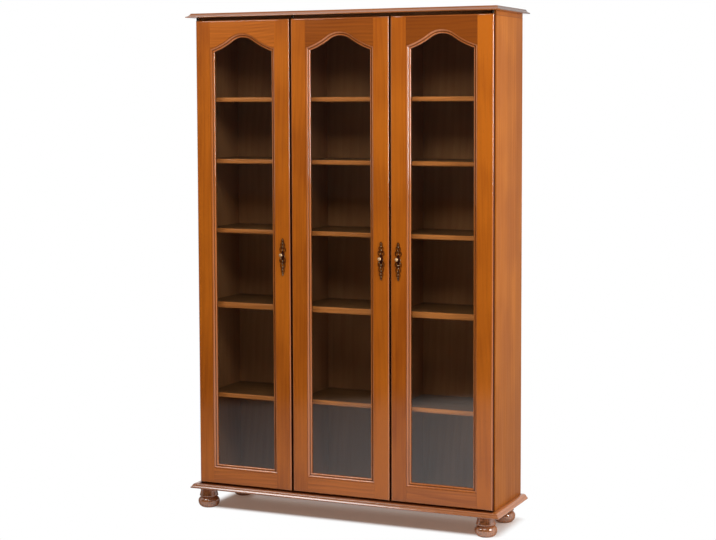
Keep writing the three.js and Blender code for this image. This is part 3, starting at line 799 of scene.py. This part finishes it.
doorFrame = {
    "stileWidth": 0.063,
    "bottomRailWidth": 0.062,
    "thickness": 0.019,
    # The arch: a crown arc between two hollow flank arcs that end at the stiles
    "cornerDrop": 0.112,
    "archRise": 0.060,
    "flankRadius": 0.295,
    "flankReach": 0.082,
    "archSteps": 40,
    "flankSteps": 24,
    "arris": 0.005,
    "arrisSteps": 7,
    "gapSteps": 3,
    "jointGap": 0.0003,
    # The moulding, by distance from its outer edge and depth behind the front face
    "quirk": (0.0008, 0.0012),
    "outerRound": {"width": 0.0072, "firstTilt": 15, "lastTilt": 52},
    "groove": (0.0098, 0.0078),
    "innerStart": (0.0106, 0.0050),
    "innerRound": {"width": 0.0058, "firstTilt": 2, "lastTilt": 62},
    "lipDepth": 0.0107,
    "rebateWidth": 0.008,
    "curveSteps": 8,
    "beadRounding": 0.003,
    "beadSteps": 6,
    "pivotHole": {"radius": 0.0034, "depth": 0.015, "sides": 24},
}


def roundRows(start, look, steps):
    # An arc that leans away from the front face more and more towards the glass.
    first, last = math.radians(look["firstTilt"]), math.radians(look["lastTilt"])
    radius = look["width"] / (math.sin(last) - math.sin(first))
    turns = [first + (last - first) * i / steps for i in range(steps + 1)]
    return [(start[0] + radius * (math.sin(turn) - math.sin(first)),
             start[1] + radius * (math.cos(first) - math.cos(turn))) for turn in turns]


def mouldingRows(look):
    # A quirk, a leaning round, a groove and a smaller round beside the glass, then the rebate behind them.
    rows = [(0.0, 0.0), (0.0, look["quirk"][1])]
    rows += roundRows(look["quirk"], look["outerRound"], look["curveSteps"])
    rows += [(rows[-1][0], look["groove"][1]), look["groove"]]
    rows += roundRows(look["innerStart"], look["innerRound"], look["curveSteps"])
    thickness, rebate, lip = look["thickness"], look["rebateWidth"], look["lipDepth"]
    return rows + [(rows[-1][0], lip), (rebate, lip), (rebate, thickness), (0.0, thickness)]


def arrisRows(look):
    # From the back edge round to the front face: distance from the outer edge, and depth.
    return [(0.0, look["thickness"])] + arrisCurve(look["arris"], look["arrisSteps"])


def arrisFinishes(look):
    # For each step round the outer edge: 3 painted dark as the shade in the gap beside the next door, then 1
    # on the corner, in the glossier finish whose paler tone is a painted highlight.
    dark = look["gapSteps"]
    return [3] * dark + [1] * (look["arrisSteps"] + 1 - dark)


def rowFinishes(look):
    # For each step of the moulding: 0 plain wood, 1 a raised moulding in a glossier finish whose paler tone
    # is a painted highlight, 2 a hollow darkened by gathered stain and by painted shade.
    steps = look["curveSteps"]
    return [2] * 2 + [1] * steps + [2] * 3 + [1] * steps + [0] * 3


def flankLift(look, inset=0.0):
    return math.sqrt((look["flankRadius"] + inset) ** 2 - (look["flankReach"] + inset) ** 2)


def cornerHeight(look, height, inset):
    # The corner between the arch and the stile. It runs down the mitre as the outline draws in.
    return height - look["cornerDrop"] + flankLift(look) - flankLift(look, inset)


def openingOutline(look, width, height, inset):
    # From the lower left corner, anticlockwise. Concentric arcs keep the points of all insets in step.
    steps, archSteps, lift = look["flankSteps"], look["archSteps"], flankLift(look)
    left, sill = look["stileWidth"] + inset, look["bottomRailWidth"] + inset
    middle, corner = width / 2, height - look["cornerDrop"]
    span = middle - look["stileWidth"] + look["flankReach"]
    fall = look["archRise"] + look["flankRadius"] - lift
    both = (span ** 2 + fall ** 2) / (2 * fall)
    radius, flank = both - look["flankRadius"], look["flankRadius"] + inset
    half, meet = math.asin(span / both), math.asin((look["flankReach"] + inset) / flank)
    crown = corner + look["archRise"] - radius
    right = []
    for i in range(steps + 1):
        turn = meet + (half - meet) * i / steps
        right.append((span - flank * math.sin(turn), corner + lift - flank * math.cos(turn)))
    points = [(left, sill), (width - left, sill)] + [(middle + x, z) for x, z in right]
    for i in range(1, archSteps):
        turn = half * (1 - 2 * i / archSteps)
        points.append((middle + (radius - inset) * math.sin(turn), crown + (radius - inset) * math.cos(turn)))
    return points + [(middle - x, z) for x, z in reversed(right)]


def stileFaces(look, height):
    # The left stile, with x from the door's left edge and z from its bottom.
    inner, low, high = look["stileWidth"], look["bottomRailWidth"], height - look["cornerDrop"]
    thick, rebate, rows = look["thickness"], look["rebateWidth"], mouldingRows(look)
    # Rows from the inner edge at the bottom, round both outer corners, to the inner edge at the top
    around = [[(inner, depth, a), (a, depth, a), (a, depth, height - a), (inner, depth, height - a)]
              for a, depth in arrisRows(look)]
    polygons, finishes = [], []
    for first, second, finish in zip(around, around[1:], arrisFinishes(look)):
        polygons += bandBetween(first, second, closed=False)
        finishes += [finish] * 3
    plain = [row + [(inner, depth, high), (inner, depth, low)]
             for row, depth in ((around[-1], 0), (around[0], thick))]
    plain += [[(inner, 0, level), (inner, thick, level)] + [row[end] for row in around]
              for level, end in ((low, 0), (high, 3))]
    plain.append([(inner, thick, low), (inner, thick, high),
                  (inner + rebate, thick, cornerHeight(look, height, rebate)),
                  (inner + rebate, thick, low + rebate)])
    lower = [(inner + a, depth, low + a) for a, depth in rows]
    upper = [(inner + a, depth, cornerHeight(look, height, a)) for a, depth in rows]
    polygons += plain + bandBetween(lower[:-1], upper[:-1], closed=False) + [lower, upper]
    return polygons, finishes + [0] * len(plain) + rowFinishes(look)


def railFaces(look, width, height, outerAt, run):
    # A rail, lofted through stations along its run of the opening. Its ends meet the stiles' mitres.
    inner, arris = mouldingRows(look), arrisRows(look)
    outlines = [[openingOutline(look, width, height, inset)[i] for i in run] for inset, depth in inner]
    # A hair's gap keeps both ends off the stiles.
    shifts = [-look["jointGap"]] + [0] * (len(run) - 2) + [look["jointGap"]]
    rings = []
    for i, shift in enumerate(shifts):
        ring = [(points[i][0] + shift, depth, points[i][1])
                for points, (inset, depth) in zip(outlines, inner)]
        rings.append(ring + [(ring[0][0], depth, outerAt(away)) for away, depth in arris])
    polygons, finishes = [], []
    for first, second in zip(rings, rings[1:]):
        polygons += bandBetween(first, second)
        finishes += rowFinishes(look) + [0, 0] + arrisFinishes(look) + [0]
    for ring in (rings[0], rings[-1]):
        polygons += [ring[:len(inner)], [ring[0]] + ring[len(inner) - 1:]]
    return polygons, finishes


def drillPivots(piece, hole, x, y, ends):
    # Round holes in both ends of the hinge stile for the pivot pins.
    bm = bmesh.new()
    for end in ends:
        bmesh.ops.create_cone(bm, cap_ends=True, segments=hole["sides"], radius1=hole["radius"],
                              radius2=hole["radius"], depth=2 * hole["depth"],
                              matrix=Matrix.Translation((x, y, end)))
    drill = addObject("pivotDrill", meshFrom("pivotDrill", bm))
    cut = piece.modifiers.new("pivotHoles", "BOOLEAN")
    cut.operation, cut.solver, cut.object = "DIFFERENCE", "EXACT", drill
    bm = bakedShape(piece)
    piece.modifiers.remove(cut)
    bpy.data.objects.remove(drill)
    smoothShape(bm)
    bm.to_mesh(piece.data)
    bm.free()


def beadFaces(look, width, height, near, far):
    # A glazing bead behind the pane, with a rounded inner edge, between two depths behind the front face.
    # Its inner edge lines up with the moulding's lip, which is the fourth row from the end.
    outer, inner = look["rebateWidth"] + look["jointGap"], mouldingRows(look)[-4][0]
    rows = [(outer, near), (inner, near)]
    nose = arrisCurve(look["beadRounding"], look["beadSteps"])
    rows += [(inner - away, far - depth) for away, depth in nose] + [(outer, far)]
    rings = [[(x, depth, z) for x, z in openingOutline(look, width, height, inset)] for inset, depth in rows]
    polygons = []
    for first, second in zip(rings, rings[1:] + rings[:1]):
        polygons += bandBetween(first, second)
    return polygons, ()


def makeDoor(door, hingeOnLeft, railWood, look):
    hingeLow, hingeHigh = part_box(door + "_hinge_stile")
    lockLow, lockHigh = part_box(door + "_lock_stile")
    left, front, bottom = min(hingeLow.x, lockLow.x), hingeLow.y, hingeLow.z
    width, height = max(hingeHigh.x, lockHigh.x) - left, hingeHigh.z - bottom
    edgeWoods = ("mouldingWood", "hollowWood", "gapWood")

    def addDoorPiece(part, faces, woodNames, mirrored=False):
        polygons, finishes = faces
        placed = [[(left + (width - x if mirrored else x), front + depth, bottom + z)
                   for x, depth, z in corners] for corners in polygons]
        return addPiece(door + "_" + part, closeShape(placed, finishes), door,
                        [woods[name] for name in woodNames])

    for part, mirrored in (("hinge_stile", not hingeOnLeft), ("lock_stile", hingeOnLeft)):
        stile = addDoorPiece(part, stileFaces(look, height), ("doorStileWood", *edgeWoods), mirrored)
        if part == "hinge_stile":
            pinLow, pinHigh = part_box(door + "_top_pivot")
            drillPivots(stile, look["pivotHole"], (pinLow.x + pinHigh.x) / 2, (pinLow.y + pinHigh.y) / 2,
                        (bottom, bottom + height))
        evenShading(stile)
    # The outline starts with the two lower corners. The rest of it is the arch.
    archRun = range(2, len(openingOutline(look, width, height, 0.0)))
    for part, outerAt, run, wood in (("top_rail", lambda away: height - away, archRun, railWood),
                                     ("bottom_rail", lambda away: away, (1, 0), "doorRailWood")):
        faces = railFaces(look, width, height, outerAt, run)
        evenShading(addDoorPiece(part, faces, (wood, *edgeWoods)))
    beadLow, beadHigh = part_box(door + "_glazing_bead")
    bead = beadFaces(look, width, height, beadLow.y - front, beadHigh.y - front)
    evenShading(addDoorPiece("glazing_bead", bead, ("beadWood",)))


makeDoor("left_door", True, "doorRailWood", doorFrame)
makeDoor("middle_door", True, "darkRailWood", doorFrame)
makeDoor("right_door", False, "deepRailWood", doorFrame)
print("doors made")


# Handles: a pierced plate with raised scrolls, and a turned knob

handle = {
    # Half the outline of the plate's spine, from bottom to top: distance across and height, in millimetres
    "plateEdge": [
        (0.25, -75.4), (0.99, -72), (1.61, -68), (1.12, -64), (0.99, -60), (1.49, -56), (2.11, -52),
        (1.49, -48), (1.12, -44), (1.36, -40), (1.98, -36), (1.61, -31), (1.24, -26), (1.61, -21),
        (3.6, -15), (4.68, -8), (6.12, -3), (7.74, 3), (8.1, 9), (7.56, 15), (3.72, 20), (2.23, 25),
        (1.36, 30), (1.24, 35), (1.61, 40), (2.11, 44), (1.49, 49), (0.99, 54), (1.12, 58), (1.74, 62),
        (1.36, 67), (0.74, 71), (0.25, 75.4)],
    "plateDepth": 0.0006,
    "plateEdging": 0.0008,
    "edgingSteps": 3,
    # Raised scrolls: points across and up in millimetres, then the radius at each end
    "scrolls": [
        ([(2, 20), (9.5, 22.5), (12.6, 29.5), (10.4, 36.5), (5.6, 38), (4.0, 34.5), (6.4, 32.2), (8.2, 34)],
         1.55, 1.08),
        ([(2, 41), (6.5, 43), (9.4, 48), (8.0, 53.6), (4.2, 54.8), (3.4, 51.5), (5.6, 50.2)], 1.46, 0.96),
        ([(1.2, 57), (4.2, 60), (5.0, 65), (2.6, 69.5), (0.6, 72)], 1.27, 0.84),
        ([(2.4, -2), (9, -4.5), (12.6, -11), (11.6, -18.5), (6.8, -21), (4, -18), (6.4, -14.8), (8.6, -16.4)],
         1.55, 1.08),
        ([(2, -23), (7.2, -26), (10.2, -32), (8.8, -38.6), (4.8, -40.8), (3.2, -37.6), (5.6, -35.4)],
         1.46, 0.96),
        ([(1.6, -43.5), (5.6, -46.5), (8, -52), (6.2, -57.4), (2.8, -58.6), (2.4, -55)], 1.36, 0.96),
        ([(1, -60), (3.6, -63.5), (3.6, -68.5), (1, -73)], 1.16, 0.84),
    ],
    "ribs": [([(0, 24), (0, 36), (0, 48), (0, 75)], 1.5, 0.5),
             ([(0, -10), (0, -24), (0, -44), (0, -75)], 1.6, 0.5)],
    # How high the scrolls and ribs are laid above the plate, and how flat they are
    "scrollForm": {"rise": 0.4, "flat": 1.0},
    "ribForm": {"rise": 1.2, "flat": 0.8},
    "tubeSteps": 6,
    "tubeSides": 10,
    "tipShare": 0.45,
    "tipGrowth": 4,
    # Studs: place across and up, and radius
    "studs": [(-1.2, 28, 1.9), (1.0, 42, 2.0), (0, 56, 1.7), (0, 68, 1.3), (-9.4, 6, 2.2), (-8.2, -6, 2.0),
              (8.8, 4, 1.6), (0.4, -15, 2.3), (-1.6, -26, 2.1), (1.2, -38, 2.2), (-0.8, -50, 2.0),
              (0.6, -61, 1.7), (0, -70, 1.2)],
    "studSides": 14,
    "studRows": 8,
    "studRubbed": 0.2,
    # The knob's profile: radius and distance from the door
    "knobRows": [(0, 0), (8.6, 0), (8.9, 0.7), (8.2, 1.6), (6.6, 2.0), (6.2, 2.6), (5.2, 3.2), (3.4, 4.6),
                 (2.7, 7.0), (2.8, 9.6), (3.6, 11.6), (5.0, 12.6), (6.7, 13.6), (7.4, 15.0), (7.45, 16.6),
                 (6.9, 18.2), (6.0, 19.1), (5.5, 19.0), (5.2, 19.7), (4.2, 20.9), (2.4, 21.7), (0, 22)],
    "knobSides": 48,
    "crownLean": 0.5,
    "crownDepth": 0.004,
    "outlineSteps": 4,
    "outlineOrder": 3,
    "plateWeld": 0.00001,
    "sharpAngle": 40,
}


def curvePoint(points, i, share):
    # A point between point i and the next one, on a smooth curve through all the points.
    a, b, c, d = (points[min(max(k, 0), len(points) - 1)] for k in range(i - 1, i + 3))
    return tuple(0.5 * (2 * b[k] + (c[k] - a[k]) * share
                        + (2 * a[k] - 5 * b[k] + 4 * c[k] - d[k]) * share ** 2
                        + (3 * b[k] - a[k] - 3 * c[k] + d[k]) * share ** 3) for k in (0, 1))


def sweptTube(bm, path, look, firstRadius, lastRadius, form):
    # A tapering half-round rib laid on the plate. Millimetres across, out of the plate and up.
    steps, sides = look["tubeSteps"], look["tubeSides"]
    smooth = [curvePoint(path, i, step / steps) for i in range(len(path) - 1) for step in range(steps)]
    smooth.append(path[-1])
    last = len(smooth) - 1
    rings = []
    for i, (x, z) in enumerate(smooth):
        before, after = smooth[max(i - 1, 0)], smooth[min(i + 1, last)]
        along = Vector((after[0] - before[0], after[1] - before[1])).normalized()
        share = i / last
        radius = firstRadius + (lastRadius - firstRadius) * share
        radius *= min(1.0, *(look["tipShare"] + look["tipGrowth"] * part for part in (share, 1 - share)))
        ring = []
        for turn in (2 * math.pi * k / sides for k in range(sides)):
            across = radius * math.cos(turn)
            out = -form["rise"] - form["flat"] * radius * math.sin(turn)
            ring.append(bm.verts.new((x - along.y * across, out, z + along.x * across)))
        rings.append(ring)
    for first, second in zip(rings, rings[1:]):
        for corners in bandBetween(first, second):
            bm.faces.new(corners)
    bm.faces.new(list(reversed(rings[0])))
    bm.faces.new(rings[-1])


def plateOutline(look):
    # The flat plate, filled from a curve with rounded edges.
    curve = bpy.data.curves.new("plateOutline", "CURVE")
    curve.dimensions, curve.fill_mode = "2D", "BOTH"
    curve.extrude, curve.bevel_depth = look["plateDepth"], look["plateEdging"]
    curve.bevel_resolution, curve.offset = look["edgingSteps"], -look["plateEdging"]
    outline = look["plateEdge"] + [(-x, z) for x, z in reversed(look["plateEdge"])]
    spline = curve.splines.new("NURBS")
    spline.points.add(len(outline) - 1)
    for point, (x, z) in zip(spline.points, outline):
        point.co = (x / perMetre, z / perMetre, 0, 1)
    spline.use_cyclic_u, spline.order_u = True, look["outlineOrder"]
    spline.resolution_u = look["outlineSteps"]
    source = addObject("plateOutline", curve)
    bm = bakedShape(source)
    bpy.data.objects.remove(source)
    bmesh.ops.remove_doubles(bm, verts=bm.verts, dist=look["plateWeld"])
    return bm


def plateShape(look, mirrored):
    # The scrolls, ribs and studs are raised on the plate.
    bm = plateOutline(look)
    standUp(bm)
    relief = bmesh.new()
    for path, first, last in look["scrolls"]:
        for sign in (1, -1):
            sweptTube(relief, [(sign * x, z) for x, z in path], look, first, last, look["scrollForm"])
    for path, first, last in look["ribs"]:
        sweptTube(relief, path, look, first, last, look["ribForm"])
    ribFaces = len(relief.faces)
    rise, flat = look["ribForm"]["rise"], look["ribForm"]["flat"]
    for x, z, radius in look["studs"]:
        placed = Matrix.Translation((x, -rise, z)) @ Matrix.Diagonal((radius, flat * radius, radius, 1))
        bmesh.ops.create_uvsphere(relief, u_segments=look["studSides"], v_segments=look["studRows"], radius=1,
                                  matrix=placed)
    bmesh.ops.scale(relief, verts=relief.verts, vec=(1 / perMetre,) * 3)
    bmesh.ops.recalc_face_normals(relief, faces=relief.faces)
    for i, face in enumerate(relief.faces):
        # The studs, where they face out, are rubbed bright and painted as glints. The scrolls and ribs stay
        # dark.
        face.material_index = 1 if i >= ribFaces and face.normal.y < -look["studRubbed"] else 0
    raised = meshFrom("relief", relief)
    bm.from_mesh(raised)
    bpy.data.meshes.remove(raised)
    if mirrored:
        bmesh.ops.scale(bm, verts=bm.verts, vec=(-1, 1, 1))
    bmesh.ops.recalc_face_normals(bm, faces=bm.faces)
    smoothShape(bm, look["sharpAngle"])
    return bm


def makeHandle(door, mirrored, look):
    dark, bright = metals["antiqueBronze"], metals["polishedBronze"]
    plate, knob = door + "_handle_plate", door + "_knob"
    low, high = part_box(plate)
    bm = plateShape(look, mirrored)
    behind = high.y - (look["plateDepth"] + look["plateEdging"])
    moveTo(bm, (low.x + high.x) / 2, behind, (low.z + high.z) / 2)
    addPiece(plate, bm, door, [dark, bright])
    low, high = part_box(knob)
    rows = [(radius / perMetre, along / perMetre) for radius, along in look["knobRows"]]
    bm = turnedShape(rows, look["knobSides"])
    standUp(bm)
    moveTo(bm, (low.x + high.x) / 2, high.y, (low.z + high.z) / 2)
    bmesh.ops.recalc_face_normals(bm, faces=bm.faces)
    smoothShape(bm, look["sharpAngle"])
    for face in bm.faces:
        # The crown of the knob is worn bright and painted as a highlight.
        wornGlint = face.normal.y < -look["crownLean"] and face.calc_center_median().y < low.y + look["crownDepth"]
        face.material_index = 0 if wornGlint else 1
    addPiece(knob, bm, door, [bright, dark])


makeHandle("left_door", False, handle)
makeHandle("middle_door", False, handle)
makeHandle("right_door", True, handle)
print("handles made")


# Finishes on the parts that keep their own shape

keptFinishes = {
    "glass": glass,
    "side_panel": sideFinish,
    "partition": woods["liningWood"],
    "top_panel": woods["liningWood"],
    "back_panel": woods["liningWood"],
    "pivot": metals["darkSteel"],
    "catch": catchPlastic,
}
for nodeName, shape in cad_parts.items():
    for ending, material in keptFinishes.items():
        if nodeName.endswith(ending):
            shape.material_slots[0].material = material
print("finishes laid on")
